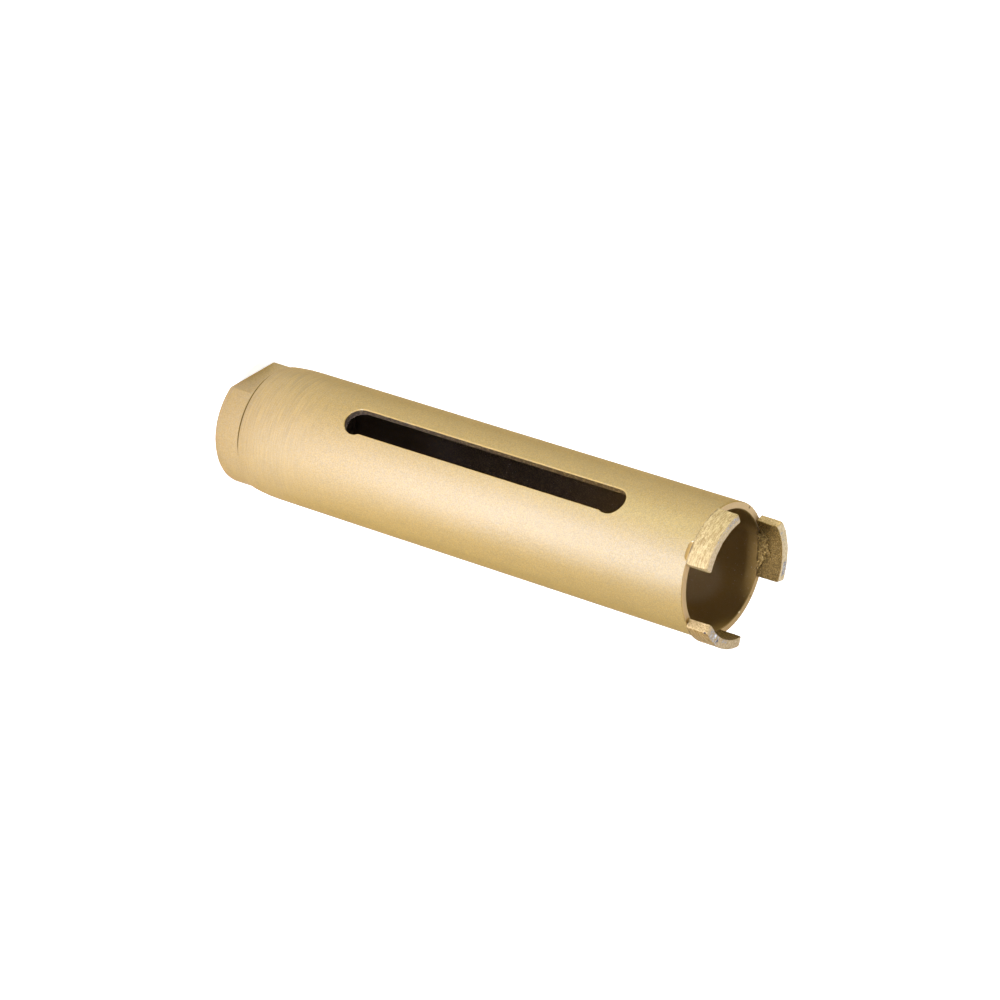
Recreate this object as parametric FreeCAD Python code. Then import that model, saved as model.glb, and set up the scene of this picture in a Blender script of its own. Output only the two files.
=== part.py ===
"""Dry core bit, 38 mm: a slotted steel barrel on a threaded hub, with three brazed cutting segments.

Millimetres. +Z runs along the bit from the hub's rear face (z = 0) to the cutting end, and the
barrel's dust slot faces -Y. The bit stands on the hub's rear face.
"""
import FreeCAD, Part
import math
import os
from FreeCAD import Vector

# Barrel: a seamless tube, welded to the hub at the rear and ground smooth there
BARREL_OD = 36.5
BARREL_WALL = 2.0
BARREL_LENGTH = 148.5
TAIL_LENGTH = 7.7               # how far the ground tail reaches from the barrel's rear end
TAIL_DROP = 0.55                # what the grinding took off the radius at the rear end
TAIL_BORE_CHAMFER = 0.4         # lead-in for the hub's spigot
MOUTH_CHAMFER = 0.25            # broken edge at the mouth, outside
MOUTH_BORE_CHAMFER = 0.15       # and inside

# Dust slot: two drilled holes joined by a narrower sawn strip, through the -Y wall only
SLOT_WIDTH = 7.6
SLOT_FRONT_SETBACK = 28.6       # front hole's centre, back from the mouth
SLOT_REAR_SETBACK = 112.3
SLOT_FRONT_HOLE_D = 8.0
SLOT_REAR_HOLE_D = 8.2
SLOT_EDGE = 0.25                # broken edge round the slot, outside

# Hub: one turned piece, a collar with two wrench flats and a spigot inside the barrel
COLLAR_OD = 34.4
COLLAR_LENGTH = 8.85
COLLAR_CHAMFER = 0.2            # broken edge round the rear face, along the flats too
GROOVE_WIDTH = 0.4              # relief turned into the collar beside the barrel
GROOVE_DEPTH = 0.5
FLATS_ACROSS = 29.35
FLAT_LENGTH = 7.7
FLAT_OVERRUN = 0.5              # how far the cutter ran past each end of the flat
FLAT_END_R = 2.0                # the cutter's radius in the flat's inner corners
FLAT_ANGLE = 63.2               # degrees round the bit, where the first flat faces
SPIGOT_LENGTH = 13.9
SPIGOT_CLEARANCE = 0.03         # on the radius
SPIGOT_CHAMFER = 0.8

# Drive thread: half-inch parallel pipe thread, right through the hub
THREAD_MAJOR_D = 20.955
THREAD_MOUTH_CHAMFER = 0.6

# Segments: sintered blocks brazed by hand on the mouth's face
SEGMENT_CHORD = 17.4            # width across the outer corners
SEGMENT_THICKNESS = 2.65
SEGMENT_HEIGHT = 6.6
SEGMENT_OUTER_R = 17.8          # the pressing die's radius
SEGMENT_END_TAPER = 12.0        # degrees that each end face leans towards the axis
SEGMENT_TIP_CORNER = 0.8        # worn corners between the cutting face and the ends
SEGMENT_EDGE = 0.3              # the other worn edges
SEGMENT_PROUD = 0.85            # how far a segment's middle stands outside the barrel
HIGH_SEGMENT_PROUD = 1.2        # the second one sits further out
# Degrees round the bit to each segment's middle, and how far it stands out
SEGMENT_SEATS = {"1": (275.3, SEGMENT_PROUD), "2": (151.7, HIGH_SEGMENT_PROUD), "3": (26.7, SEGMENT_PROUD)}

# Braze: a film of filler under each segment, and a fillet up its inner face
BRAZE_FILM = 0.12
FILLET_HEIGHT = 2.6             # up the segment, from the film
FILLET_RUN = 0.9                # down the bore, from the mouth
FILLET_DEPTH = 0.5              # how far it stands into the bore at the mouth
FILLET_KNEE_HEIGHT = 1.0        # where it thins, above the mouth
FILLET_KNEE_DEPTH = 0.3
FILLET_SPAN = 30.0              # degrees round the bore

# Hollow ground into the barrel's rim beside the first segment's root
HOLLOW_FROM_SEGMENT = 16.5      # degrees round the barrel, from the first segment's middle
HOLLOW_LENGTH = 5.9
HOLLOW_REACH = 1.35             # back from the mouth
HOLLOW_DEPTH = 0.5

# Pit in the mouth's face beside the third segment
PIT_FROM_SEGMENT = -30.2        # degrees round the barrel, from the third segment's middle
PIT_SETBACK = 0.85              # its centre, in from the barrel's outside
PIT_D = 1.6
PIT_DEPTH = 0.4

# Worked out from the sizes above
barrel_r = BARREL_OD / 2
bore_r = barrel_r - BARREL_WALL
mouth_z = COLLAR_LENGTH + BARREL_LENGTH
segment_z = mouth_z + BRAZE_FILM
slot_front_z = mouth_z - SLOT_FRONT_SETBACK
slot_rear_z = mouth_z - SLOT_REAR_SETBACK
tip_z = segment_z + SEGMENT_HEIGHT
ORIGIN = Vector(0, 0, 0)
Z = Vector(0, 0, 1)
TOLERANCE = 0.001               # for finding an edge by its place


def polyline(points):
    """Straight edges from each (radius, z) pair to the next."""
    at = [Vector(r, 0, z) for r, z in points]
    return [Part.LineSegment(a, b).toShape() for a, b in zip(at, at[1:])]


def turned(edges, degrees=360.0):
    """A closed profile, revolved about the bit's axis."""
    return Part.Face(Part.Wire(edges)).revolve(ORIGIN, Z, degrees)


def turned_polygon(points, degrees=360.0):
    return turned(polyline(points + points[:1]), degrees)


def around(shape, degrees):
    """A copy of the shape, turned about the bit's axis."""
    return shape.rotated(ORIGIN, Z, degrees)


def box_between(low, high):
    return Part.makeBox(high[0] - low[0], high[1] - low[1], high[2] - low[2], Vector(*low))


def barrel_blank():
    """The tube. Its tail is ground to an arc that runs out into the barrel's own surface."""
    tail_arc_r = (TAIL_LENGTH ** 2 + TAIL_DROP ** 2) / (2 * TAIL_DROP)
    tail_front = (barrel_r, COLLAR_LENGTH + TAIL_LENGTH)
    tail_rear = (barrel_r - TAIL_DROP, COLLAR_LENGTH)
    half = TAIL_LENGTH / 2
    tail_middle = (barrel_r - tail_arc_r + math.sqrt(tail_arc_r ** 2 - half ** 2), COLLAR_LENGTH + half)
    rest = [
        tail_front,
        (barrel_r, mouth_z - MOUTH_CHAMFER),
        (barrel_r - MOUTH_CHAMFER, mouth_z),
        (bore_r + MOUTH_BORE_CHAMFER, mouth_z),
        (bore_r, mouth_z - MOUTH_BORE_CHAMFER),
        (bore_r, COLLAR_LENGTH + TAIL_BORE_CHAMFER),
        (bore_r + TAIL_BORE_CHAMFER, COLLAR_LENGTH),
        tail_rear,
    ]
    tail = Part.Arc(*[Vector(r, 0, z) for r, z in (tail_rear, tail_middle, tail_front)]).toShape()
    return turned([tail] + polyline(rest))


def slot_tool():
    """Two drills and the sawn strip between them. The holes are tangent to the strip's -X side."""
    half = SLOT_WIDTH / 2
    reach = barrel_r + SLOT_WIDTH
    tool = box_between((-half, -reach, slot_rear_z), (half, 0, slot_front_z))
    for diameter, z in ((SLOT_FRONT_HOLE_D, slot_front_z), (SLOT_REAR_HOLE_D, slot_rear_z)):
        centre = Vector(diameter / 2 - half, 0, z)
        tool = tool.fuse(Part.makeCylinder(diameter / 2, reach, centre, Vector(0, -1, 0)))
    return tool


def slot_rim(barrel):
    """The slot's edges on the barrel's outside."""
    rim = []
    for edge in barrel.Edges:
        middle = edge.valueAt((edge.FirstParameter + edge.LastParameter) / 2)
        beside_slot = abs(middle.x) < SLOT_REAR_HOLE_D and middle.y < 0
        along_slot = slot_rear_z - SLOT_REAR_HOLE_D < middle.z < slot_front_z + SLOT_FRONT_HOLE_D
        on_outside = abs(math.hypot(middle.x, middle.y) - barrel_r) < TOLERANCE
        if beside_slot and along_slot and on_outside:
            rim.append(edge)
    return rim


def bowl_radius(half_width, depth):
    """The radius of the ball whose cap has this half width and depth."""
    return (half_width ** 2 + depth ** 2) / (2 * depth)


def rim_hollow():
    """The grinding mark: a round-ended groove across the rim, lying along the tangent."""
    radius = bowl_radius(HOLLOW_REACH, HOLLOW_DEPTH)
    x = barrel_r - HOLLOW_DEPTH + radius
    half = HOLLOW_LENGTH / 2 - HOLLOW_REACH
    groove = Part.makeCylinder(radius, 2 * half, Vector(x, -half, mouth_z), Vector(0, 1, 0))
    for end in (-half, half):
        groove = groove.fuse(Part.makeSphere(radius, Vector(x, end, mouth_z)))
    return around(groove, SEGMENT_SEATS["1"][0] + HOLLOW_FROM_SEGMENT)


def mouth_pit():
    radius = bowl_radius(PIT_D / 2, PIT_DEPTH)
    ball = Part.makeSphere(radius, Vector(barrel_r - PIT_SETBACK, 0, mouth_z - PIT_DEPTH + radius))
    return around(ball, SEGMENT_SEATS["3"][0] + PIT_FROM_SEGMENT)


def make_barrel():
    barrel = barrel_blank().cut(slot_tool())
    barrel = barrel.makeFillet(SLOT_EDGE, slot_rim(barrel))
    return barrel.cut(rim_hollow()).cut(mouth_pit())


def flat_tool():
    """What the milling cutter takes off one side of the collar, on +X."""
    depth_x = FLATS_ACROSS / 2
    half_width = math.sqrt((COLLAR_OD / 2) ** 2 - depth_x ** 2) + FLAT_OVERRUN
    block = box_between((depth_x, -half_width, -FLAT_END_R), (COLLAR_OD, half_width, FLAT_LENGTH))
    top_edges = [e for e in block.Edges if abs(e.CenterOfMass.z - FLAT_LENGTH) < TOLERANCE]
    corners = [e for e in top_edges if abs(abs(e.CenterOfMass.y) - half_width) < TOLERANCE]
    return block.makeFillet(FLAT_END_R, corners)


def make_hub():
    collar_r = COLLAR_OD / 2
    spigot_r = bore_r - SPIGOT_CLEARANCE
    thread_r = THREAD_MAJOR_D / 2
    top_z = COLLAR_LENGTH + SPIGOT_LENGTH
    groove_z = COLLAR_LENGTH - GROOVE_WIDTH
    hub = turned_polygon([
        (thread_r + THREAD_MOUTH_CHAMFER, 0),
        (collar_r, 0),
        (collar_r, groove_z),
        (collar_r - GROOVE_DEPTH, groove_z),
        (collar_r - GROOVE_DEPTH, COLLAR_LENGTH),
        (spigot_r, COLLAR_LENGTH),
        (spigot_r, top_z - SPIGOT_CHAMFER),
        (spigot_r - SPIGOT_CHAMFER, top_z),
        (thread_r + THREAD_MOUTH_CHAMFER, top_z),
        (thread_r, top_z - THREAD_MOUTH_CHAMFER),
        (thread_r, THREAD_MOUTH_CHAMFER),
    ])
    for side in (FLAT_ANGLE, FLAT_ANGLE + 180):
        hub = hub.cut(around(flat_tool(), side))
    rear_rim = [e for e in hub.Edges
                if e.BoundBox.ZMax < TOLERANCE and min(v.Point.Length for v in e.Vertexes) > FLATS_ACROSS / 2]
    return hub.makeChamfer(COLLAR_CHAMFER, rear_rim)


def segment_blank(proud):
    """A segment on +X before its edges wear: a slice of a ring between two leaning ends."""
    ring_x = barrel_r + proud - SEGMENT_OUTER_R
    centre = Vector(ring_x, 0, segment_z)
    ring = Part.makeCylinder(SEGMENT_OUTER_R, SEGMENT_HEIGHT, centre)
    ring = ring.cut(Part.makeCylinder(SEGMENT_OUTER_R - SEGMENT_THICKNESS, SEGMENT_HEIGHT, centre))
    ring = ring.rotated(centre, Z, 180)     # the cylinders' seams go to the side that isn't kept
    half = SEGMENT_CHORD / 2
    corner_x = ring_x + math.sqrt(SEGMENT_OUTER_R ** 2 - half ** 2)
    far_x = barrel_r + proud + SEGMENT_THICKNESS
    near_x = corner_x - 2 * SEGMENT_THICKNESS
    lean = math.tan(math.radians(SEGMENT_END_TAPER))
    far_y = half + (far_x - corner_x) * lean
    near_y = half - (corner_x - near_x) * lean
    outline = [(far_x, -far_y), (far_x, far_y), (near_x, near_y), (near_x, -near_y), (far_x, -far_y)]
    wedge = Part.Face(Part.makePolygon([Vector(x, y, segment_z) for x, y in outline]))
    return ring.common(wedge.extrude(Vector(0, 0, SEGMENT_HEIGHT)))


def tip_edges(block):
    return [e for e in block.Edges if abs(e.CenterOfMass.z - tip_z) < TOLERANCE]


def make_segment(proud):
    """A segment on +X, its edges worn round, and most at the cutting face's two ends."""
    block = segment_blank(proud)
    ends = [e for e in tip_edges(block) if abs(e.CenterOfMass.y) > SEGMENT_CHORD / 4]
    block = block.makeFillet(SEGMENT_TIP_CORNER, ends)
    sides = [e for e in tip_edges(block) if e.Length > SEGMENT_CHORD / 2]
    upright = [e for e in block.Edges
               if abs(e.Vertexes[0].Point.z - e.Vertexes[-1].Point.z) > SEGMENT_HEIGHT / 2]
    return block.makeFillet(SEGMENT_EDGE, upright + sides)


def make_braze(segment, proud):
    """The filler on +X: the film where segment and rim overlap, and the fillet on the inner face."""
    wall = Part.makeCylinder(barrel_r - MOUTH_CHAMFER, BRAZE_FILM, Vector(0, 0, mouth_z))
    wall = wall.cut(Part.makeCylinder(bore_r + MOUTH_BORE_CHAMFER, BRAZE_FILM, Vector(0, 0, mouth_z)))
    film = wall.common(segment_blank(proud).translated(Vector(0, 0, -BRAZE_FILM)))
    inside_segment = bore_r + proud
    inside_wall = bore_r + BARREL_WALL / 2
    fillet = turned_polygon([
        (bore_r - FILLET_DEPTH, mouth_z),
        (bore_r - FILLET_KNEE_DEPTH, mouth_z + FILLET_KNEE_HEIGHT),
        (inside_segment, segment_z + FILLET_HEIGHT),
        (inside_segment, mouth_z),
        (inside_wall, mouth_z),
        (inside_wall, mouth_z - FILLET_RUN),
        (bore_r, mouth_z - FILLET_RUN),
    ], FILLET_SPAN)
    fillet = around(fillet, -FILLET_SPAN / 2)
    return film.fuse(fillet.cut(segment).cut(barrel_blank())).removeSplitter()


def main():
    os.makedirs("parts", exist_ok=True)
    parts = {"barrel": make_barrel(), "hub": make_hub()}
    for number, (angle, proud) in SEGMENT_SEATS.items():
        segment = make_segment(proud)
        parts["segment_" + number] = around(segment, angle)
        parts["braze_" + number] = around(make_braze(segment, proud), angle)
    for name, shape in parts.items():
        print(name, shape.isValid(), len(shape.Solids), round(shape.Volume, 1))
        shape.exportStep(f"parts/{name}.step")


main()
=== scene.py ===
"""Looks for the dry core bit: gold paint, sintered segments, braze lumps, thread, light and camera.

Metres, in the part's own frame: +Z along the bit, hub at the bottom, slot towards -Y.
"""
import math
import random
from collections import namedtuple

import bmesh
import bpy
from mathutils import Matrix, Vector, noise


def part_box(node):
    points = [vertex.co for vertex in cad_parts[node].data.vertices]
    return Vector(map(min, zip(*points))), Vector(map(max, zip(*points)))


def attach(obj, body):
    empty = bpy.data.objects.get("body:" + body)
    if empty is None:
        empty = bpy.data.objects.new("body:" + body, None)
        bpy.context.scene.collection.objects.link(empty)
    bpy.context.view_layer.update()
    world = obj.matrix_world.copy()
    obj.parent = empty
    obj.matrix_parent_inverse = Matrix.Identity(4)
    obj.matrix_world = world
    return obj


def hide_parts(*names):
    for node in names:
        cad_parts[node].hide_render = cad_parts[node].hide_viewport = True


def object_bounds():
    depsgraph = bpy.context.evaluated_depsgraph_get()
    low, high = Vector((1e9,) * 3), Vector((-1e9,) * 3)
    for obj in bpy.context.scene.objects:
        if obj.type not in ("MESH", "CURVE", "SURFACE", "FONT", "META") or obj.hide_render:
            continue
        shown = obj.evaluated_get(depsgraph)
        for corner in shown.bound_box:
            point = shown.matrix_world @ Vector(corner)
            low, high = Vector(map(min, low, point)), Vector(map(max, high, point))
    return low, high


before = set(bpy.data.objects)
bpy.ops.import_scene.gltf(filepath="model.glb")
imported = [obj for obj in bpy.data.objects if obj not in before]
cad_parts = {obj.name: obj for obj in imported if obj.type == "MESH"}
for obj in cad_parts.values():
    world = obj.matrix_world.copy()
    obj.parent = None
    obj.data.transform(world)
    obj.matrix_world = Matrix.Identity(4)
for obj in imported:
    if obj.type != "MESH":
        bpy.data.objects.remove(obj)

MM = 0.001
cad_low, cad_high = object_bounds()

# Sizes and heights, from the frame
barrel_low, barrel_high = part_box("barrel")
hub_low, hub_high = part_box("hub")
segment_low, segment_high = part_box("segment_1")
BARREL_R = barrel_high.x
HUB_R = hub_high.y
MOUTH_Z = barrel_high.z
STEP_Z = barrel_low.z
SPIGOT_Z = hub_high.z
ROOT_Z = segment_low.z
TIP_Z = segment_high.z

# The barrel's wall and its slot, which the frame's boxes don't give
BORE_R = BARREL_R - 2 * MM
SLOT_FRONT_Z = MOUTH_Z - 28.6 * MM
SLOT_REAR_Z = MOUTH_Z - 112.3 * MM
SLOT_EDGE_R = 4.05 * MM

# Segments: degrees round the bit to the middle of each, and how far it stands outside the barrel
SEGMENTS = {"1": (275.3, 0.85 * MM), "2": (151.7, 1.2 * MM), "3": (26.7, 0.85 * MM)}
SEGMENT_OUTER_R = 17.8 * MM
SEGMENT_THICKNESS = 2.65 * MM
SEGMENT_VOXEL = 0.13 * MM
WORN_SEGMENT = "3"
WORN_CORNER_R = 1.7 * MM

# Drive thread: half-inch parallel pipe thread
THREAD_MAJOR_R = 20.955 / 2 * MM
THREAD_PITCH = 1.814 * MM
THREAD_DEPTH = 1.162 * MM
THREAD_MOUTH_CHAMFER = 0.6 * MM
THREAD_SUNK = 0.04 * MM
THREAD_STEPS = 64

# Places on the barrel and the hub that look different, some by painted light and shade. Angles are degrees
# round the bit.
LOW_RIM_ANGLE = 95
LEFT_RIM_ANGLE = 332
BORE_SHEEN_ANGLE = 103
PIT_ANGLE = 356.5
PIT_R = 17.4 * MM
GROOVE_SHADOW_ANGLE = 290
MARKED_SIDE_ANGLE = 262

# Marks on the mouth's face: degrees round the bit, radius, size, colour
RIM_MARKS = (
    (199.6, 17.6 * MM, 0.45 * MM, (0.15, 0.10, 0.045)),
    (85.8, 16.4 * MM, 0.45 * MM, (0.95, 0.80, 0.52)),
    (104.6, 17.1 * MM, 0.35 * MM, (0.12, 0.08, 0.035)),
)

# Gold paint: a strongly coloured coat, and the share of it that is pale metal flakes
GOLD = (0.360, 0.215, 0.026)
GOLD_METAL = 0.1
GOLD_ROUGH = 0.5
GOLD_SPECULAR = 0.02
GOLD_EDGE = (0.76, 0.51, 0.29)
FLAKE = (0.450, 0.555, 0.50)
FLAKE_ROUGH = 0.38
FLAKE_SHARE = 0.24
FLAKE_SPREAD = 0.05
PAINT_BUMP = 0.06 * MM

# Lathe marks: how often they repeat along each axis, per metre
STREAKS = (150, 150, 4200)
THREAD_STREAKS = (200, 200, 9000)

# Barrel where it isn't painted, or is painted thinly, and where shade, light, a highlight and a sheen are
# painted
TAN = (0.62, 0.455, 0.255)
TAN_IN_SHADE = (0.44, 0.30, 0.14)
BORE_EDGE_DARK = (0.14, 0.09, 0.035)
HOLLOW_GOLD = (0.47, 0.33, 0.13)
LIT_PIT_GOLD = (0.78, 0.55, 0.21)
SLOT_LIP_HIGHLIGHT = (0.48, 0.345, 0.13)
SLOT_WALL_REAR = ((0.06, 0.046, 0.03), (0.14, 0.11, 0.06))
SLOT_WALL_FRONT = ((0.09, 0.06, 0.023), (0.21, 0.145, 0.052))
BORE_DEEP = (0.38, 0.32, 0.28)
BORE_MIDDLE = (0.115, 0.085, 0.06)
BORE_FRONT = (0.37, 0.245, 0.08)
BORE_GRAIN = (0.40, 0.29, 0.135)
BORE_SPECK = (0.75, 0.66, 0.52)
BORE_SHEEN = (0.58, 0.48, 0.34)

# Hub: bare steel, painted shadow in the groove under the barrel's edge, and the radius from which lathe marks
# show
HUB_STEEL = ((0.16, 0.13, 0.10), (0.28, 0.24, 0.19))
THREAD_STEEL = ((0.20, 0.17, 0.13), (0.36, 0.32, 0.26))
GROOVE_SHADOW = (0.07, 0.05, 0.02)
TURNED_HUB_R = 16.5 * MM

# Segments and braze: dark and light of each, what lies on top, and painted shade and highlight on their
# relief
SIDE_GOLD = ((0.33, 0.24, 0.09), (0.64, 0.50, 0.26))
OUTER_GOLD = ((0.31, 0.22, 0.085), (0.62, 0.49, 0.25))
SINTER_HOLLOW_SHADE = (0.28, 0.185, 0.065)
SINTER_RIDGE_HIGHLIGHT = (0.76, 0.61, 0.35)
ROOT_DIRT = (0.15, 0.115, 0.07)
SHADED_GOLD = ((0.17, 0.115, 0.038), (0.42, 0.285, 0.095))
SPARK = (0.72, 0.55, 0.27)
BARE_MATRIX = ((0.27, 0.25, 0.255), (0.61, 0.585, 0.56))
FLECK = (0.20, 0.20, 0.23)
BRAZE_RIDGE_HIGHLIGHT = (0.64, 0.47, 0.19)
BRAZE_HOLLOW_SHADE = (0.12, 0.08, 0.03)
SINTER_SPECULAR = 0.06

# How each segment is worn, and the light painted on it. dull and clean: the two tones of its cutting face.
# outer: what tints its outside. inner: how light its inside is from one end to the other, partly painted
# light
# and shade. Patches of bare matrix: middle and half length along the segment, from and to across it,
# strength.
# Marks: distance out from the bit's axis, along the segment, above the mouth, size, colour.
WearAndPaintedLight = namedtuple("WearAndPaintedLight", "dull clean outer inner patches marks")
WEAR_AND_PAINTED_LIGHT = {
    "1": WearAndPaintedLight(
        dull=(0.53, 0.405, 0.24), clean=(0.66, 0.53, 0.345), outer=(0.94, 0.98, 1.0), inner=(1.0, 1.0),
        patches=((-6 * MM, 4.4 * MM, 1.2 * MM, 2.8 * MM, 0.17),
                 (-2 * MM, 5 * MM, 1.9 * MM, 2.8 * MM, 0.10)),
        marks=()),
    "2": WearAndPaintedLight(
        dull=(0.58, 0.45, 0.26), clean=(0.74, 0.62, 0.42), outer=(1.0, 1.0, 1.0), inner=(0.8, 1.6),
        patches=((-4.9 * MM, 2.4 * MM, 0.7 * MM, 2.1 * MM, 0.30),
                 (4.4 * MM, 2.2 * MM, 0.3 * MM, 1.2 * MM, 0.13)),
        marks=()),
    "3": WearAndPaintedLight(
        dull=(0.44, 0.325, 0.19), clean=(0.60, 0.47, 0.29), outer=(0.70, 0.60, 0.42), inner=(0.75, 0.75),
        patches=((-5 * MM, 3.6 * MM, 0, 2.8 * MM, 0.17),
                 (0.5 * MM, 2 * MM, 0, 1.1 * MM, 0.15)),
        marks=((16.87 * MM, -8.6 * MM, 5.8 * MM, 0.5 * MM, (0.09, 0.07, 0.06)),
               (16.49 * MM, -4.4 * MM, 6.7 * MM, 0.6 * MM, (0.80, 0.82, 0.90)),
               (17.55 * MM, -2.9 * MM, 6.7 * MM, 0.5 * MM, (0.10, 0.11, 0.16)))),
}

# Braze, in mm. Lumps are strewn over a triangle this wide to each side and this high. Ridges run from one
# point to another, each (along the rim, above the mouth), and have a lump size.
Braze = namedtuple("Braze", "count spread top ridges")
BRAZE = {
    "1": Braze(24, 5.0, 1.6, ()),
    "2": Braze(34, 5.6, 2.5, (
        ((4.85, 1.1), (2.4, 2.4), 0.5),
        ((3.0, 0.0), (2.0, 0.6), 0.45),
        ((1.4, 0.8), (-2.0, 2.7), 0.8),
        ((-3.2, 1.3), (-6.0, 0.0), 0.55))),
    "3": Braze(24, 5.0, 1.6, ()),
}
BRAZE_VOXEL = 0.11 * MM

# Roughness of the segments and the braze, in mm. On a segment it grows from nothing over the smooth root.
RIPPLE_DEPTH = 0.045
GRAIN_DEPTH = 0.045
WAVE_DEPTH = 0.05
SEGMENT_SUNK = 0.06
SMOOTH_ROOT = 0.4
BRAZE_LUMP_DEPTH = 0.10
BRAZE_GRAIN_DEPTH = 0.05

# Camera, measured from the photograph by fitting the barrel's outline and ends
CAMERA_AT = Vector((0.43500, -0.79173, 0.69778))
CAMERA_RIGHT = Vector((-0.52317, 0.32278, 0.78874))
CAMERA_DOWN = Vector((0.75334, 0.60787, 0.25093))
CAMERA_LENS = 148.66
CAMERA_SENSOR = 36.0

# Floor: how bright the camera sees it, and how bright metal mirrors it. Then the light's strength and colours
FLOOR_SIZE = 6
FLOOR_COLOUR = (0.85, 0.85, 0.85)
FLOOR_SEEN = 0.7
FLOOR_GLOW = 0.42
WORLD_LIGHT = 0.2
WHITE = (1, 1, 1)
KEY_COLOUR = (1.0, 0.96, 1.03)
WASH_COLOUR = (1.0, 0.96, 1.45)
SIDE_COLOUR = (1.0, 0.92, 0.72)


def add_object(name, mesh):
    made = bpy.data.objects.new(name, mesh)
    bpy.context.scene.collection.objects.link(made)
    return made


def make_camera():
    data = bpy.data.cameras.new("camera")
    data.lens = CAMERA_LENS
    data.sensor_width = CAMERA_SENSOR
    data.clip_start, data.clip_end = 0.01, 50
    camera = add_object("camera", data)
    right, up = CAMERA_RIGHT.normalized(), -CAMERA_DOWN.normalized()
    back = right.cross(up).normalized()
    up = back.cross(right)
    turn = Matrix((right, up, back)).transposed().to_4x4()
    camera.matrix_world = Matrix.Translation(CAMERA_AT) @ turn
    bpy.context.scene.camera = camera


def towards(angle):
    """The unit vector at an angle in degrees round the bit."""
    turn = math.radians(angle)
    return Vector((math.cos(turn), math.sin(turn), 0))


def upright(height):
    return Vector((0, 0, height))


def shade_of(colour, k):
    return tuple(min(1.0, c * k) for c in colour)


def tinted(colour, tint):
    return tuple(c * t for c, t in zip(colour, tint))


def clamped(value):
    """The value kept within 0 and 1."""
    return max(0.0, min(1.0, value))


# A shaded point: where it is in the part's frame, in x, y and z too, and how far from the bit's axis
Place = namedtuple("Place", "at x y z radius")


class Graph:
    """Short calls for building one material's nodes."""

    def __init__(self, name):
        self.material = bpy.data.materials.new(name)
        self.material.use_nodes = True
        self.tree = self.material.node_tree
        self.tree.nodes.clear()

    def put(self, socket, value):
        if isinstance(value, bpy.types.NodeSocket):
            self.tree.links.new(value, socket)
        elif socket.type == "RGBA" and len(value) == 3:
            socket.default_value = (*value, 1)
        else:
            socket.default_value = value

    def node(self, kind, settings=(), **inputs):
        made = self.tree.nodes.new("ShaderNode" + kind)
        for key, value in dict(settings).items():
            setattr(made, key, value)
        for key, value in inputs.items():
            self.put(made.inputs[key.replace("_", " ")], value)
        return made

    def math(self, operation, *values):
        made = self.node("Math", {"operation": operation})
        for socket, value in zip(made.inputs, values):
            self.put(socket, value)
        return made.outputs[0]

    def plus(self, a, b):
        return self.math("ADD", a, b)

    def minus(self, a, b):
        return self.math("SUBTRACT", a, b)

    def times(self, *values):
        total = values[0]
        for value in values[1:]:
            total = self.math("MULTIPLY", total, value)
        return total

    def either(self, *values):
        total = values[0]
        for value in values[1:]:
            total = self.math("MAXIMUM", total, value)
        return total

    def step(self, value, low, high):
        """0 at low, 1 at high, smooth between. low may be the larger."""
        made = self.node("MapRange", {"interpolation_type": "SMOOTHSTEP"}, Value=value)
        rising = low < high
        for socket, number in (("From Min", min(low, high)), ("From Max", max(low, high)),
                               ("To Min", 0.0 if rising else 1.0), ("To Max", 1.0 if rising else 0.0)):
            made.inputs[socket].default_value = number
        return made.outputs["Result"]

    def band(self, value, low, high, soft):
        """1 from low to high, 0 outside, with soft ends."""
        above_low = self.step(value, low - soft, low + soft)
        return self.times(above_low, self.step(value, high + soft, high - soft))

    def mix(self, factor, a, b, blend="MIX"):
        made = self.node("Mix", {"data_type": "RGBA", "blend_type": blend})
        colours = [s for s in made.inputs if s.type == "RGBA"]
        self.put(made.inputs["Factor"], factor)
        self.put(colours[0], a)
        self.put(colours[1], b)
        return [s for s in made.outputs if s.type == "RGBA"][0]

    def vector(self, operation, a, b, output=0):
        made = self.node("VectorMath", {"operation": operation})
        self.put(made.inputs[0], a)
        self.put(made.inputs[1], b)
        return made.outputs[output]

    def dot(self, a, b):
        return self.vector("DOT_PRODUCT", a, b, "Value")

    def noise(self, at, scale, detail=2.0, rough=0.5):
        return self.node("TexNoise", Vector=at, Scale=scale, Detail=detail, Roughness=rough).outputs["Fac"]

    def stretched_noise(self, at, scales):
        """Noise with a scale for each axis."""
        return self.noise(self.vector("MULTIPLY", at, scales), 1.0)

    def spot(self, at, centre, radius):
        """1 within half the radius of the centre, 0 beyond it."""
        return self.step(self.vector("DISTANCE", at, centre, "Value"), radius, radius * 0.5)

    def place(self):
        at = self.node("TexCoord").outputs["Object"]
        x, y, z = self.node("SeparateXYZ", Vector=at).outputs
        radius = self.math("SQRT", self.plus(self.times(x, x), self.times(y, y)))
        return Place(at, x, y, z, radius)

    def relief(self):
        """How far a roughened mesh stands out of its solid, from about -1 to 1."""
        return self.node("Attribute", {"attribute_name": "relief"}).outputs["Fac"]

    def bump(self, height, distance, strength, under=None):
        made = self.node("Bump", Strength=strength, Distance=distance, Height=height)
        if under is not None:
            self.put(made.inputs["Normal"], under)
        return made.outputs[0]

    def principled(self, normal, **inputs):
        return self.node("BsdfPrincipled", Normal=normal, **inputs).outputs[0]

    def finish(self, surface):
        out = self.node("OutputMaterial")
        self.put(out.inputs["Surface"], surface)
        return self.material


def speckled(g, at, colour, spread=0.22):
    """Lighter and darker grains over a faint cloud, and the grains' own noise."""
    grain = g.noise(at, 3000)
    cloud = g.noise(at, 1300)
    tone = g.plus(g.minus(grain, 0.5), g.times(g.minus(cloud, 0.5), 0.3))
    return g.mix(g.step(tone, -0.25, 0.25), shade_of(colour, 1 - spread), shade_of(colour, 1 + spread)), grain


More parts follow.
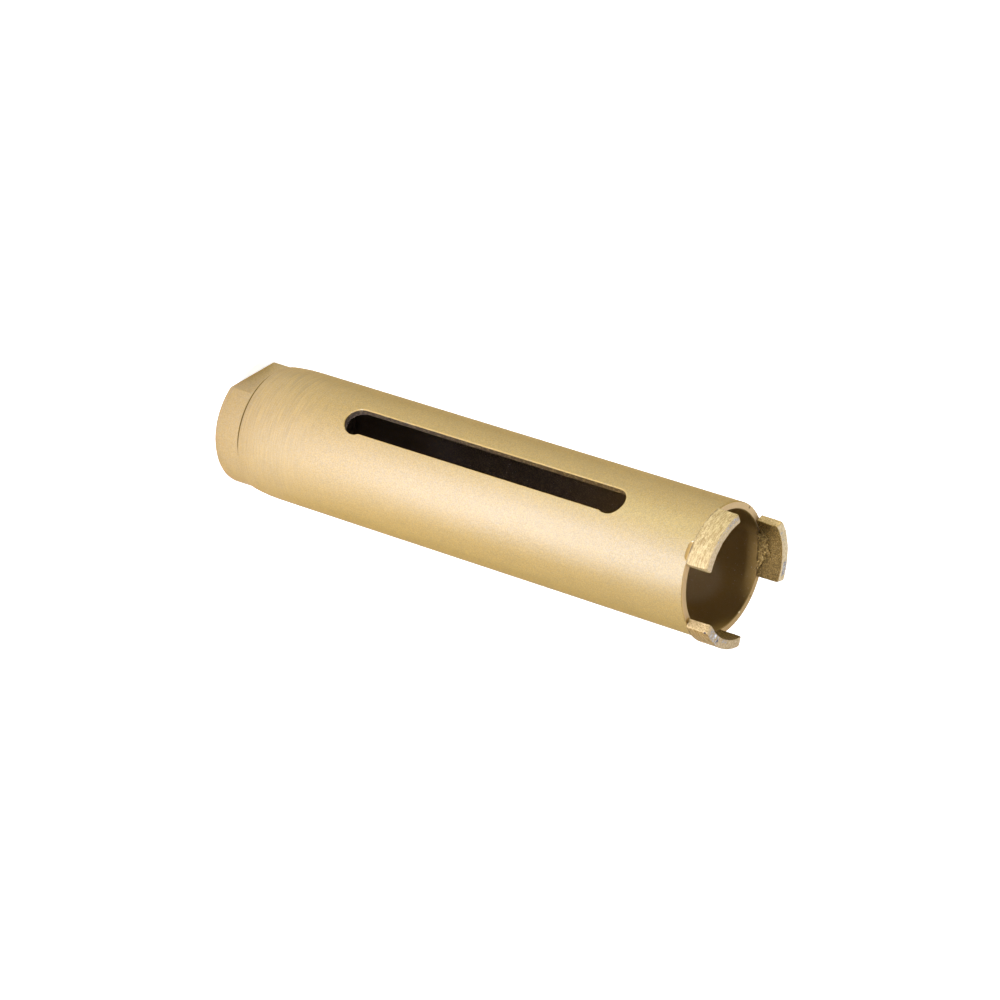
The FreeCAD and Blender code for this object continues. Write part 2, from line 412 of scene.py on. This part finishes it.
def lathe_marks(g, streaks, share, colour, darkest, lightest):
    """Darker and lighter rings in the gold, as strong as the share says."""
    ringed = g.mix(g.step(streaks, 0.35, 0.65), shade_of(GOLD, darkest), shade_of(GOLD, lightest))
    return g.mix(share, colour, ringed)


def gold_paint(g, at, colour, painted, bump):
    """Shades gold paint full of pale metal flakes. painted is 0 where the surface has no such paint."""
    gold = g.principled(bump, **{
        "Base Color": colour, "Metallic": GOLD_METAL, "Roughness": GOLD_ROUGH,
        "Specular IOR Level": GOLD_SPECULAR, "Specular Tint": GOLD_EDGE})
    flakes = g.principled(bump, **{
        "Base Color": FLAKE, "Metallic": 1.0, "Roughness": FLAKE_ROUGH, "Specular Tint": GOLD_EDGE})
    clustered = g.step(g.noise(at, 3400), 0.3, 0.7)
    share = g.times(painted, g.plus(FLAKE_SHARE - FLAKE_SPREAD, g.times(clustered, 2 * FLAKE_SPREAD)))
    both = g.node("MixShader", Fac=share)
    g.put(both.inputs[1], gold)
    g.put(both.inputs[2], flakes)
    return g.finish(both.outputs[0])


def mouth_colour(g, place, colour):
    """The mouth's tan face with painted shade on its low and left sides, its dark inner edge, marks, ground
    hollow, and pit with painted light in it, and how bare it is.
    """
    below_face = g.step(place.z, MOUTH_Z - 0.03 * MM, MOUTH_Z - 0.08 * MM)
    face = g.step(place.z, MOUTH_Z - 0.12 * MM, MOUTH_Z - 0.04 * MM)
    tan, _ = speckled(g, place.at, TAN, 0.05)
    low_side = g.step(g.dot(place.at, towards(LOW_RIM_ANGLE)), 0, BORE_R)
    tan = g.mix(low_side, tan, TAN_IN_SHADE)
    left_side = g.step(g.dot(place.at, towards(LEFT_RIM_ANGLE)), 0.4 * BORE_R, BORE_R)
    tan = g.mix(g.times(left_side, 0.6), tan, TAN_IN_SHADE)
    colour = g.mix(face, colour, tan)

    # A darker thin ring round the bore's edge
    bore_edge = g.times(g.step(place.radius, BORE_R + 0.26 * MM, BORE_R + 0.14 * MM),
                        g.step(place.z, MOUTH_Z - 0.4 * MM, MOUTH_Z - 0.3 * MM))
    colour = g.mix(g.times(bore_edge, 0.75), colour, BORE_EDGE_DARK)
    for angle, radius, size, mark in RIM_MARKS:
        marked = g.spot(place.at, towards(angle) * radius + upright(MOUTH_Z), size)
        colour = g.mix(g.times(marked, 0.8), colour, mark)

    in_wall = g.times(g.step(place.radius, BARREL_R - 0.05 * MM, BARREL_R - 0.15 * MM),
                      g.step(place.radius, BORE_R, BORE_R + 0.2 * MM))
    hollow = g.times(in_wall, g.step(place.z, MOUTH_Z - 3.2 * MM, MOUTH_Z - 2.6 * MM), below_face, 0.85)
    colour = g.mix(hollow, colour, HOLLOW_GOLD)
    # Painted light: the pit gets a gold brighter than the paint round it
    pit = g.spot(place.at, towards(PIT_ANGLE) * PIT_R + upright(MOUTH_Z - 0.3 * MM), 1.0 * MM)
    pit = g.times(pit, below_face)
    colour = g.mix(pit, colour, LIT_PIT_GOLD)
    return colour, g.either(face, bore_edge, hollow, pit)


def slot_colour(g, place, colour):
    """The slot's browned walls and the lip round it, lighter as a painted highlight, and how bare it is."""
    away_from_mouth = g.step(place.z, MOUTH_Z - 2 * MM, MOUTH_Z - 3 * MM)
    along_slot = g.times(g.step(place.z, STEP_Z + 12 * MM, STEP_Z + 13 * MM), away_from_mouth)
    wall = g.times(g.step(place.radius, BARREL_R - 0.22 * MM, BARREL_R - 0.3 * MM), along_slot)
    frontwards = g.step(place.z, STEP_Z + 40 * MM, MOUTH_Z - 30 * MM)
    dark, light = (g.mix(frontwards, rear, front) for rear, front in zip(SLOT_WALL_REAR, SLOT_WALL_FRONT))
    blots = g.step(g.noise(place.at, 1400, 3), 0.45, 0.68)
    colour = g.mix(wall, colour, g.mix(blots, dark, light))

    past_ends = g.either(0.0, g.minus(place.z, SLOT_FRONT_Z), g.minus(SLOT_REAR_Z, place.z))
    off_slot = g.node("CombineXYZ", X=place.x, Z=past_ends).outputs[0]
    from_middle = g.vector("LENGTH", off_slot, (0, 0, 0), "Value")
    near_edge = g.step(from_middle, SLOT_EDGE_R + 0.12 * MM, SLOT_EDGE_R + 0.02 * MM)
    broken = g.step(g.noise(place.at, 800), 0.3, 0.55)
    on_surface = g.step(place.radius, BARREL_R - 0.4 * MM, BARREL_R - 0.3 * MM)
    slot_side = g.step(place.y, 0, -BORE_R / 2)
    # Painted highlight: a lighter gold along the slot's edge
    lip = g.times(near_edge, slot_side, broken, g.minus(1.0, wall), on_surface)
    return g.mix(lip, colour, SLOT_LIP_HIGHLIGHT), g.either(wall, lip)


def bore_colour(g, place, colour):
    """The bore, golden brown at the mouth and duller further in, with a paler patch of painted sheen, and
    where it is.
    """
    inside = g.step(place.radius, BORE_R + 0.06 * MM, BORE_R + 0.02 * MM)
    bore = g.mix(g.step(place.z, MOUTH_Z - 130 * MM, MOUTH_Z - 90 * MM), BORE_DEEP, BORE_MIDDLE)
    bore = g.mix(g.step(place.z, MOUTH_Z - 75 * MM, MOUTH_Z - 10 * MM), bore, BORE_FRONT)
    grains = g.step(g.noise(place.at, 2400, 3), 0.4, 0.7)
    bore = g.mix(g.times(grains, 0.4), bore, BORE_GRAIN)
    specks = g.step(g.noise(place.at, 2600, 1), 0.72, 0.78)
    bore = g.mix(g.times(specks, 0.7), bore, BORE_SPECK)
    # Painted sheen: a paler patch on the bore's wall
    pale = g.spot(place.at, towards(BORE_SHEEN_ANGLE) * BORE_R + upright(MOUTH_Z - 16 * MM), 9 * MM)
    bore = g.mix(g.times(pale, 0.3), bore, BORE_SHEEN)
    return g.mix(inside, colour, bore), inside


def barrel_paint():
    g = Graph("barrel_paint")
    place = g.place()
    colour, grain = speckled(g, place.at, GOLD)
    streaks = g.stretched_noise(place.at, STREAKS)
    # Lathe marks show most on the side facing this angle and fade towards the opposite side
    marked_side = g.step(g.dot(place.at, towards(MARKED_SIDE_ANGLE)), -0.3 * BARREL_R, 0.9 * BARREL_R)
    turned = g.times(g.step(place.z, STEP_Z + 32 * MM, STEP_Z + 14 * MM), g.plus(0.3, g.times(marked_side, 0.5)))
    colour = lathe_marks(g, streaks, turned, colour, 0.80, 1.16)
    colour, bare_mouth = mouth_colour(g, place, colour)
    colour, bare_slot = slot_colour(g, place, colour)
    colour, bare_bore = bore_colour(g, place, colour)
    bump = g.bump(grain, PAINT_BUMP, 0.5)
    bump = g.bump(g.times(streaks, turned), 0.08 * MM, 0.6, bump)
    painted = g.minus(1.0, g.either(bare_mouth, bare_slot, bare_bore))
    return gold_paint(g, place.at, colour, painted, bump)


def hub_paint():
    g = Graph("hub_paint")
    place = g.place()
    colour, grain = speckled(g, place.at, GOLD)
    streaks = g.stretched_noise(place.at, STREAKS)
    outside = g.step(place.radius, TURNED_HUB_R, TURNED_HUB_R + 0.3 * MM)
    colour = lathe_marks(g, streaks, g.times(outside, 0.35), colour, 0.86, 1.08)

    bare = g.either(g.step(place.radius, THREAD_MAJOR_R + 0.8 * MM, THREAD_MAJOR_R + 0.6 * MM),
                    g.step(place.z, STEP_Z + 0.05 * MM, STEP_Z + 0.1 * MM))
    steel = g.mix(g.step(g.noise(place.at, 700, 4), 0.35, 0.65), *HUB_STEEL)
    colour = g.mix(bare, colour, steel)
    # Painted shadow on the collar under the barrel's overhanging edge and in the groove, on one side only
    shadow_side = g.step(g.dot(place.at, towards(GROOVE_SHADOW_ANGLE)), 0.66 * HUB_R, 0.90 * HUB_R)
    groove_shadow = g.times(g.step(place.z, STEP_Z - 0.9 * MM, STEP_Z - 0.7 * MM), shadow_side)
    colour = g.mix(g.times(groove_shadow, 0.85), colour, GROOVE_SHADOW)

    bump = g.bump(grain, PAINT_BUMP, 0.5)
    bump = g.bump(streaks, 0.05 * MM, 0.5, bump)
    return gold_paint(g, place.at, colour, g.minus(1.0, g.either(bare, groove_shadow)), bump)


def thread_steel():
    g = Graph("thread_steel")
    at = g.place().at
    colour = g.mix(g.step(g.noise(at, 600, 4), 0.35, 0.65), *THREAD_STEEL)
    bump = g.bump(g.stretched_noise(at, THREAD_STREAKS), 0.02 * MM, 0.6)
    return g.finish(g.principled(bump, **{"Base Color": colour, "Metallic": 0.8, "Roughness": 0.38}))


def segment_sides(g, place, normal, across, along, grain, number):
    """The segment below its cutting face: gold with pressed lines outside, darker with sparks inside."""
    out = towards(SEGMENTS[number][0])
    tint = WEAR_AND_PAINTED_LIGHT[number].outer
    relief = g.relief()
    outward = g.dot(normal, out)
    outside = g.step(outward, 0.3, 0.7)
    lines_at = g.node("CombineXYZ", X=g.times(along, 0.2), Y=across, Z=place.z).outputs[0]
    drawn = g.noise(lines_at, 4000, 2, 0.55)
    tone = g.mix(outside, grain, g.mix(0.65, grain, drawn))
    dark, light = (g.mix(outside, side, tinted(outer, tint)) for side, outer in zip(SIDE_GOLD, OUTER_GOLD))
    ridge_highlight = g.mix(outside, SINTER_RIDGE_HIGHLIGHT, tinted(SINTER_RIDGE_HIGHLIGHT, tint))
    gold = g.mix(g.step(tone, 0.30, 0.70), dark, light)
    # Painted shade in the hollows of the relief and a painted highlight on its raised parts
    gold = g.mix(g.times(g.step(relief, -0.1, -0.9), 0.4), gold, SINTER_HOLLOW_SHADE)
    gold = g.mix(g.times(g.step(relief, 0.2, 1.0), 0.45), gold, ridge_highlight)
    root = g.times(g.step(place.z, ROOT_Z + 0.5 * MM, ROOT_Z + 0.2 * MM), outside)
    blots = g.step(g.noise(place.at, 700), 0.4, 0.6)
    gold = g.mix(g.times(root, g.plus(0.35, g.times(blots, 0.5))), gold, ROOT_DIRT)

    shaded = g.mix(g.step(grain, 0.4, 0.68), *SHADED_GOLD)
    sparks = g.step(g.noise(place.at, 3600, 1), 0.66, 0.74)
    shaded = g.mix(g.times(sparks, 0.7), shaded, SPARK)
    # Painted light and shade on the inside: lighter or darker from one end to the other
    first, last = ((share, share, share) for share in WEAR_AND_PAINTED_LIGHT[number].inner)
    shaded = g.mix(1.0, shaded, g.mix(g.step(along, -5 * MM, 8 * MM), first, last), "MULTIPLY")
    return g.mix(g.step(outward, -0.35, -0.7), gold, shaded)


def segment_tip(g, place, across, along, number):
    """The cutting face: cream, with patches worn to the bare matrix."""
    wear = WEAR_AND_PAINTED_LIGHT[number]
    cream = g.mix(g.step(g.noise(place.at, 1500, 3), 0.35, 0.65), wear.dull, wear.clean)
    matrix = g.mix(g.step(g.noise(place.at, 2600, 3), 0.4, 0.66), *BARE_MATRIX)
    patches = []
    for middle, reach, low, high, strength in wear.patches:
        beside = g.step(g.math("ABSOLUTE", g.minus(along, middle)), reach, reach * 0.5)
        patches.append(g.times(beside, g.band(across, low, high, 0.25 * MM), strength))
    worn = g.step(g.plus(g.noise(place.at, 1500, 4, 0.6), g.either(*patches)), 0.63, 0.70)
    return g.mix(worn, cream, matrix)


def segment_sinter(number):
    """Sintered block under gold paint, worn to grey matrix on the cutting face."""
    g = Graph("segment_sinter_" + number)
    place = g.place()
    angle, proud = SEGMENTS[number]
    out, side = towards(angle), towards(angle + 90)
    along = g.dot(place.at, side)
    ring_centre = out * (BARREL_R + proud - SEGMENT_OUTER_R)
    in_plan = g.node("CombineXYZ", X=place.x, Y=place.y).outputs[0]
    across = g.minus(g.vector("DISTANCE", in_plan, ring_centre, "Value"), SEGMENT_OUTER_R - SEGMENT_THICKNESS)
    normal = g.node("NewGeometry").outputs["Normal"]
    grain = g.noise(place.at, 2600, 3, 0.6)

    sides = segment_sides(g, place, normal, across, along, grain, number)
    facing_up = g.step(g.node("SeparateXYZ", Vector=normal).outputs["Z"], 0.55, 0.85)
    tip = g.times(facing_up, g.step(place.z, TIP_Z - 0.5 * MM, TIP_Z - 0.25 * MM))
    colour = g.mix(tip, sides, segment_tip(g, place, across, along, number))

    flecks = g.step(g.noise(g.vector("MULTIPLY", place.at, (1, 1, 1.6)), 1300), 0.68, 0.74)
    near_ends = g.either(g.step(place.z, ROOT_Z + 1.6 * MM, ROOT_Z + 0.2 * MM),
                         g.step(place.z, TIP_Z - 1.8 * MM, TIP_Z - 0.2 * MM))
    flecks = g.times(flecks, near_ends, g.step(g.dot(normal, out), 0.3, 0.6))
    colour = g.mix(g.times(flecks, 0.7), colour, FLECK)
    for far, beside, height, size, mark in WEAR_AND_PAINTED_LIGHT[number].marks:
        centre = out * far + side * beside + upright(MOUTH_Z + height)
        colour = g.mix(g.spot(place.at, centre, size), colour, mark)

    metal = g.minus(0.3, g.times(tip, 0.2))
    return g.finish(g.principled(g.bump(grain, 0.10 * MM, 0.6), **{
        "Base Color": colour, "Metallic": metal, "Roughness": 0.5, "Specular IOR Level": SINTER_SPECULAR}))


def braze_filler():
    g = Graph("braze_filler")
    at = g.place().at
    relief = g.relief()
    grain = g.noise(at, 2600, 3, 0.6)
    colour = g.mix(g.step(grain, 0.38, 0.66), *SHADED_GOLD)
    # Painted highlight on the raised lumps and painted shade in the hollows between them
    colour = g.mix(g.times(g.step(relief, 0.1, 1.0), 0.65), colour, BRAZE_RIDGE_HIGHLIGHT)
    colour = g.mix(g.times(g.step(relief, -0.1, -1.0), 0.7), colour, BRAZE_HOLLOW_SHADE)
    colour = g.mix(g.times(g.step(g.noise(at, 3600, 1), 0.66, 0.74), 0.6), colour, SPARK)
    return g.finish(g.principled(g.bump(grain, 0.06 * MM, 0.5), **{
        "Base Color": colour, "Metallic": 0.4, "Roughness": 0.42, "Specular IOR Level": SINTER_SPECULAR}))


def voxel_mesh(name, mesh, size):
    """The mesh made over with even cells of one size."""
    scratch = add_object(name + "_scratch", mesh)
    remesh = scratch.modifiers.new("remesh", "REMESH")
    remesh.mode = "VOXEL"
    remesh.voxel_size = size
    remesh.use_smooth_shade = True
    ready = scratch.evaluated_get(bpy.context.evaluated_depsgraph_get())
    made = bpy.data.meshes.new_from_object(ready)
    bpy.data.objects.remove(scratch)
    made.name = name
    return made


def roughen(mesh, depth_at):
    """Moves each point along its normal by depth_at(point, normal), which gives metres and the relief."""
    made = bmesh.new()
    made.from_mesh(mesh)
    made.normal_update()
    shifts = [depth_at(point.co, point.normal) for point in made.verts]
    layer = made.verts.layers.float.new("relief")
    for point, (shift, relief) in zip(made.verts, shifts):
        point.co += point.normal * shift
        point[layer] = relief
    made.to_mesh(mesh)
    made.free()
    for face in mesh.polygons:
        face.use_smooth = True


def segment_surface(number):
    """How rough a segment is at a point: pressed ripples outside, grains elsewhere."""
    out, side = towards(SEGMENTS[number][0]), towards(SEGMENTS[number][0] + 90)
    seed = Vector((float(number) * 7.3, 1.7, 0.4))

    def depth_at(point, normal):
        along = point.dot(side) / MM
        across = point.dot(out) / MM
        height = (point.z - ROOT_Z) / MM
        outward = clamped((normal.dot(out) - 0.3) / 0.4)
        wavering = math.sin(along * 0.7) * 0.35
        ripple_at = Vector((along * 0.42 + height * 0.15, height * 2.1 + wavering, 0.0)) + seed
        ripple = (1 - 2 * abs(noise.noise(ripple_at)) - 0.45) * 1.6
        here = Vector((along, across, height))
        grains = noise.noise(here * 2.6 + seed)
        waves = noise.noise(here * 0.55 + seed)
        relief = outward * ripple * 0.75 + grains * (0.9 - 0.4 * outward)
        depth = outward * ripple * RIPPLE_DEPTH + grains * GRAIN_DEPTH + waves * WAVE_DEPTH - SEGMENT_SUNK
        return min(0.0, depth) * clamped(height / SMOOTH_ROOT) * MM, relief
    return depth_at


def round_corner(mesh, number, end, radius):
    """Rounds the upright corner between a segment's outside and the end at this distance along it."""
    angle, proud = SEGMENTS[number]
    out, side = towards(angle), towards(angle + 90)
    centre = out * (BARREL_R + proud - SEGMENT_OUTER_R)
    for point in mesh.vertices:
        flat = Vector((point.co.x, point.co.y, 0)) - centre
        past = flat.dot(side) - (end - radius)
        beyond = flat.length - (SEGMENT_OUTER_R - radius)
        reach = math.hypot(past, beyond)
        if past > 0 and beyond > 0 and reach > radius:
            outwards = flat.normalized()
            point.co -= (side * past + outwards * beyond) * (1 - radius / reach)


def make_segment(number):
    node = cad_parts["segment_" + number]
    mesh = voxel_mesh("cutting_segment_" + number, node.data.copy(), SEGMENT_VOXEL)
    if number == WORN_SEGMENT:
        side = towards(SEGMENTS[number][0] + 90)
        far_end = max(point.co.dot(side) for point in mesh.vertices)
        round_corner(mesh, number, far_end, WORN_CORNER_R)
    roughen(mesh, segment_surface(number))
    mesh.materials.clear()
    mesh.materials.append(segment_sinter(number))
    piece = add_object("cutting_segment_" + number, mesh)
    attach(piece, "root")
    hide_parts("segment_" + number)


def braze_lumps(number):
    """Lumps in rows along the ridges, and strewn over a triangle, wide at the rim and narrow at the top.

    Each lump is (along the rim, above the mouth, size) in mm.
    """
    count, spread, top, ridges = BRAZE[number]
    draw = random.Random(int(number) * 31 + 7)
    lumps = []
    for start, end, size in ridges:
        steps = 1 + int(math.dist(start, end) / 0.4)
        for i in range(steps + 1):
            along, above = (a + (b - a) * i / steps for a, b in zip(start, end))
            lumps.append((along + draw.uniform(-0.12, 0.12), above, size * draw.uniform(0.8, 1.1)))
    for _ in range(count):
        up = draw.random() ** 1.3
        reach = spread * (1 - up * 0.8)
        lumps.append((draw.uniform(-reach, reach), up * top - 0.2, draw.uniform(0.35, 0.7)))
    return lumps


def add_lump(made, centre, size, out, side):
    """A ball squashed against the wall. size is (into the bore, along the rim, up)."""
    turn = Matrix((out, side, upright(1))).transposed().to_4x4()
    place = Matrix.Translation(centre) @ turn @ Matrix.Diagonal((*size, 1))
    bmesh.ops.create_icosphere(made, subdivisions=2, radius=1.0, matrix=place)


def lumpy_braze(number, out, side):
    """The filler's solid with its lumps pushed into it, as one closed mesh."""
    _, proud = SEGMENTS[number]
    made = bmesh.new()
    made.from_mesh(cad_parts["braze_" + number].data)
    inner_r = SEGMENT_OUTER_R - SEGMENT_THICKNESS
    ring = BARREL_R + proud - SEGMENT_OUTER_R
    for along, above, size in braze_lumps(number):
        rise = clamped(above / 2.2)
        wall = ring + math.sqrt(inner_r ** 2 - (along * MM) ** 2)
        bore = math.sqrt(BORE_R ** 2 - (along * MM) ** 2)
        depth = bore - 0.22 * MM + (wall - bore + 0.16 * MM) * rise
        centre = out * depth + side * along * MM + upright(MOUTH_Z + above * MM)
        add_lump(made, centre, (0.20 * MM + size * 0.30 * MM, size * MM, size * 0.75 * MM), out, side)
    scratch = bpy.data.meshes.new("braze_scratch")
    made.to_mesh(scratch)
    made.free()
    return voxel_mesh("braze_fillet_" + number, scratch, BRAZE_VOXEL)


def make_braze(number, filler):
    out, side = towards(SEGMENTS[number][0]), towards(SEGMENTS[number][0] + 90)
    mesh = lumpy_braze(number, out, side)
    seed = Vector((3.1, float(number) * 5.9, 2.2))

    def depth_at(point, normal):
        at = Vector(point) / MM
        lumpy = noise.noise(at * 1.15 + seed)
        fine = noise.noise(at * 3.1 + seed)
        inward = clamped(-normal.dot(out) + 0.2)
        return (lumpy * BRAZE_LUMP_DEPTH + fine * BRAZE_GRAIN_DEPTH) * inward * MM, lumpy + fine * 0.8
    roughen(mesh, depth_at)
    mesh.materials.clear()
    mesh.materials.append(filler)
    piece = add_object("braze_fillet_" + number, mesh)
    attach(piece, "root")
    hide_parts("braze_" + number)


def thread_section(depth):
    """The ridge across its helix: each point's rise along the bit, and its radius."""
    root, crest = 0.45 * THREAD_PITCH, 0.13 * THREAD_PITCH
    foot = THREAD_MAJOR_R + THREAD_SUNK
    flank = THREAD_MAJOR_R - depth * 0.86
    top = THREAD_MAJOR_R - depth
    return ((-root, foot), (-crest * 1.7, flank), (-crest * 0.7, top),
            (crest * 0.7, top), (crest * 1.7, flank), (root, foot))


def make_thread():
    """The thread's ridge: one helix of a 55 degree section, rooted in the bore and faded at its ends."""
    turns = (SPIGOT_Z - 2 * THREAD_MOUTH_CHAMFER) / THREAD_PITCH
    count = int(THREAD_STEPS * turns)
    made = bmesh.new()
    rings = []
    for i in range(count + 1):
        angle = 2 * math.pi * i / THREAD_STEPS
        middle = THREAD_MOUTH_CHAMFER + THREAD_PITCH * i / THREAD_STEPS
        from_end = min(i, count - i) / THREAD_STEPS
        ring = []
        for rise, radius in thread_section(THREAD_DEPTH * min(1.0, 0.08 + 1.6 * from_end)):
            z = max(hub_low.z + 0.05 * MM, min(SPIGOT_Z - 0.05 * MM, middle + rise))
            ring.append(made.verts.new((radius * math.cos(angle), radius * math.sin(angle), z)))
        rings.append(ring)
    for a, b in zip(rings, rings[1:]):
        for k in range(len(a)):
            n = (k + 1) % len(a)
            made.faces.new((a[k], a[n], b[n], b[k]))
    made.faces.new(rings[0][::-1])
    made.faces.new(rings[-1])
    bmesh.ops.recalc_face_normals(made, faces=made.faces)
    mesh = bpy.data.meshes.new("hub_thread")
    made.to_mesh(mesh)
    made.free()
    piece = add_object("hub_thread", mesh)
    for face in mesh.polygons:
        face.use_smooth = True
    mesh.set_sharp_from_angle(angle=math.radians(35))
    mesh.materials.append(thread_steel())
    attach(piece, "root")


def make_floor():
    mesh = bpy.data.meshes.new("floor")
    made = bmesh.new()
    bmesh.ops.create_grid(made, x_segments=1, y_segments=1, size=FLOOR_SIZE)
    made.to_mesh(mesh)
    made.free()
    floor = add_object("floor", mesh)
    g = Graph("floor")
    paths = g.node("LightPath").outputs
    mirrored = g.either(paths["Is Glossy Ray"], paths["Is Transmission Ray"])
    seen = g.either(g.times(paths["Is Camera Ray"], FLOOR_SEEN), g.times(mirrored, FLOOR_GLOW))
    both = g.node("AddShader")
    g.put(both.inputs[0], g.node("BsdfDiffuse", Color=FLOOR_COLOUR).outputs[0])
    g.put(both.inputs[1], g.node("Emission", Color=WHITE, Strength=seen).outputs[0])
    mesh.materials.append(g.finish(both.outputs[0]))


def hang_lamp(name, data, place, away):
    """Puts the lamp at a place, with its back towards away."""
    lamp = add_object(name, data)
    lamp.location = place
    lamp.rotation_mode = "QUATERNION"
    lamp.rotation_quaternion = away.to_track_quat("Z", "Y")
    lamp.visible_camera = False


def make_lamp(name, azimuth, elevation, distance, size, power, colour=WHITE):
    """A soft square lamp, aimed at the middle of the bit. Azimuth is degrees from +X towards +Y."""
    turn, rise = math.radians(azimuth), math.radians(elevation)
    away = Vector((math.cos(turn) * math.cos(rise), math.sin(turn) * math.cos(rise), math.sin(rise)))
    data = bpy.data.lights.new(name, "AREA")
    data.shape, data.size, data.energy, data.color = "SQUARE", size, power, colour
    hang_lamp(name, data, upright((cad_low.z + cad_high.z) / 2) + away * distance, away)


def make_floor_wash(name, azimuth, distance, reach, height, power, colour=WASH_COLOUR, lean=0.0):
    """A spot that brightens the floor beside the bit. With no lean it hangs straight above that place."""
    away = towards(azimuth) * lean + upright(height)
    data = bpy.data.lights.new(name, "SPOT")
    data.energy, data.color = power, colour
    data.spot_size = 2 * math.atan(reach / away.length)
    data.spot_blend = 1.0
    data.shadow_soft_size = 0.05
    hang_lamp(name, data, towards(azimuth) * distance + away, away)


def make_world():
    """A dim even light on the object, and white behind it for the camera."""
    world = bpy.data.worlds.new("studio")
    bpy.context.scene.world = world
    world.use_nodes = True
    tree = world.node_tree
    tree.nodes.clear()
    paths = tree.nodes.new("ShaderNodeLightPath")
    lit = tree.nodes.new("ShaderNodeMix")
    lit.data_type = "FLOAT"
    lit.inputs["A"].default_value = WORLD_LIGHT
    lit.inputs["B"].default_value = 1.0
    glow = tree.nodes.new("ShaderNodeBackground")
    out = tree.nodes.new("ShaderNodeOutputWorld")
    tree.links.new(paths.outputs["Is Camera Ray"], lit.inputs["Factor"])
    tree.links.new(lit.outputs["Result"], glow.inputs["Strength"])
    tree.links.new(glow.outputs[0], out.inputs[0])


def dress(name, material):
    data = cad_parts[name].data
    data.materials.clear()
    data.materials.append(material)


make_camera()
dress("barrel", barrel_paint())
dress("hub", hub_paint())
for number in SEGMENTS:
    make_segment(number)
filler = braze_filler()
for number in BRAZE:
    make_braze(number, filler)
make_thread()
make_floor()
make_world()
make_lamp("top_lamp", azimuth=119, elevation=72, distance=2.0, size=1.0, power=32)
make_lamp("front_lamp", azimuth=323, elevation=4, distance=1.6, size=0.35, power=24, colour=KEY_COLOUR)
make_lamp("rim_lamp", azimuth=215, elevation=4, distance=1.6, size=0.35, power=11, colour=SIDE_COLOUR)
make_floor_wash("foot_wash", azimuth=324, distance=0.028, reach=0.042, height=0.6, power=36, lean=0.25)
make_floor_wash("near_wash", azimuth=318, distance=0.15, reach=0.125, height=1.2, power=97)
make_floor_wash("far_wash", azimuth=317, distance=0.32, reach=0.28, height=1.2, power=145)
make_floor_wash(
    "side_wash", azimuth=258, distance=0.31, reach=0.20, height=1.2, power=134, colour=SIDE_COLOUR)
bpy.context.scene.view_settings.view_transform = "Standard"
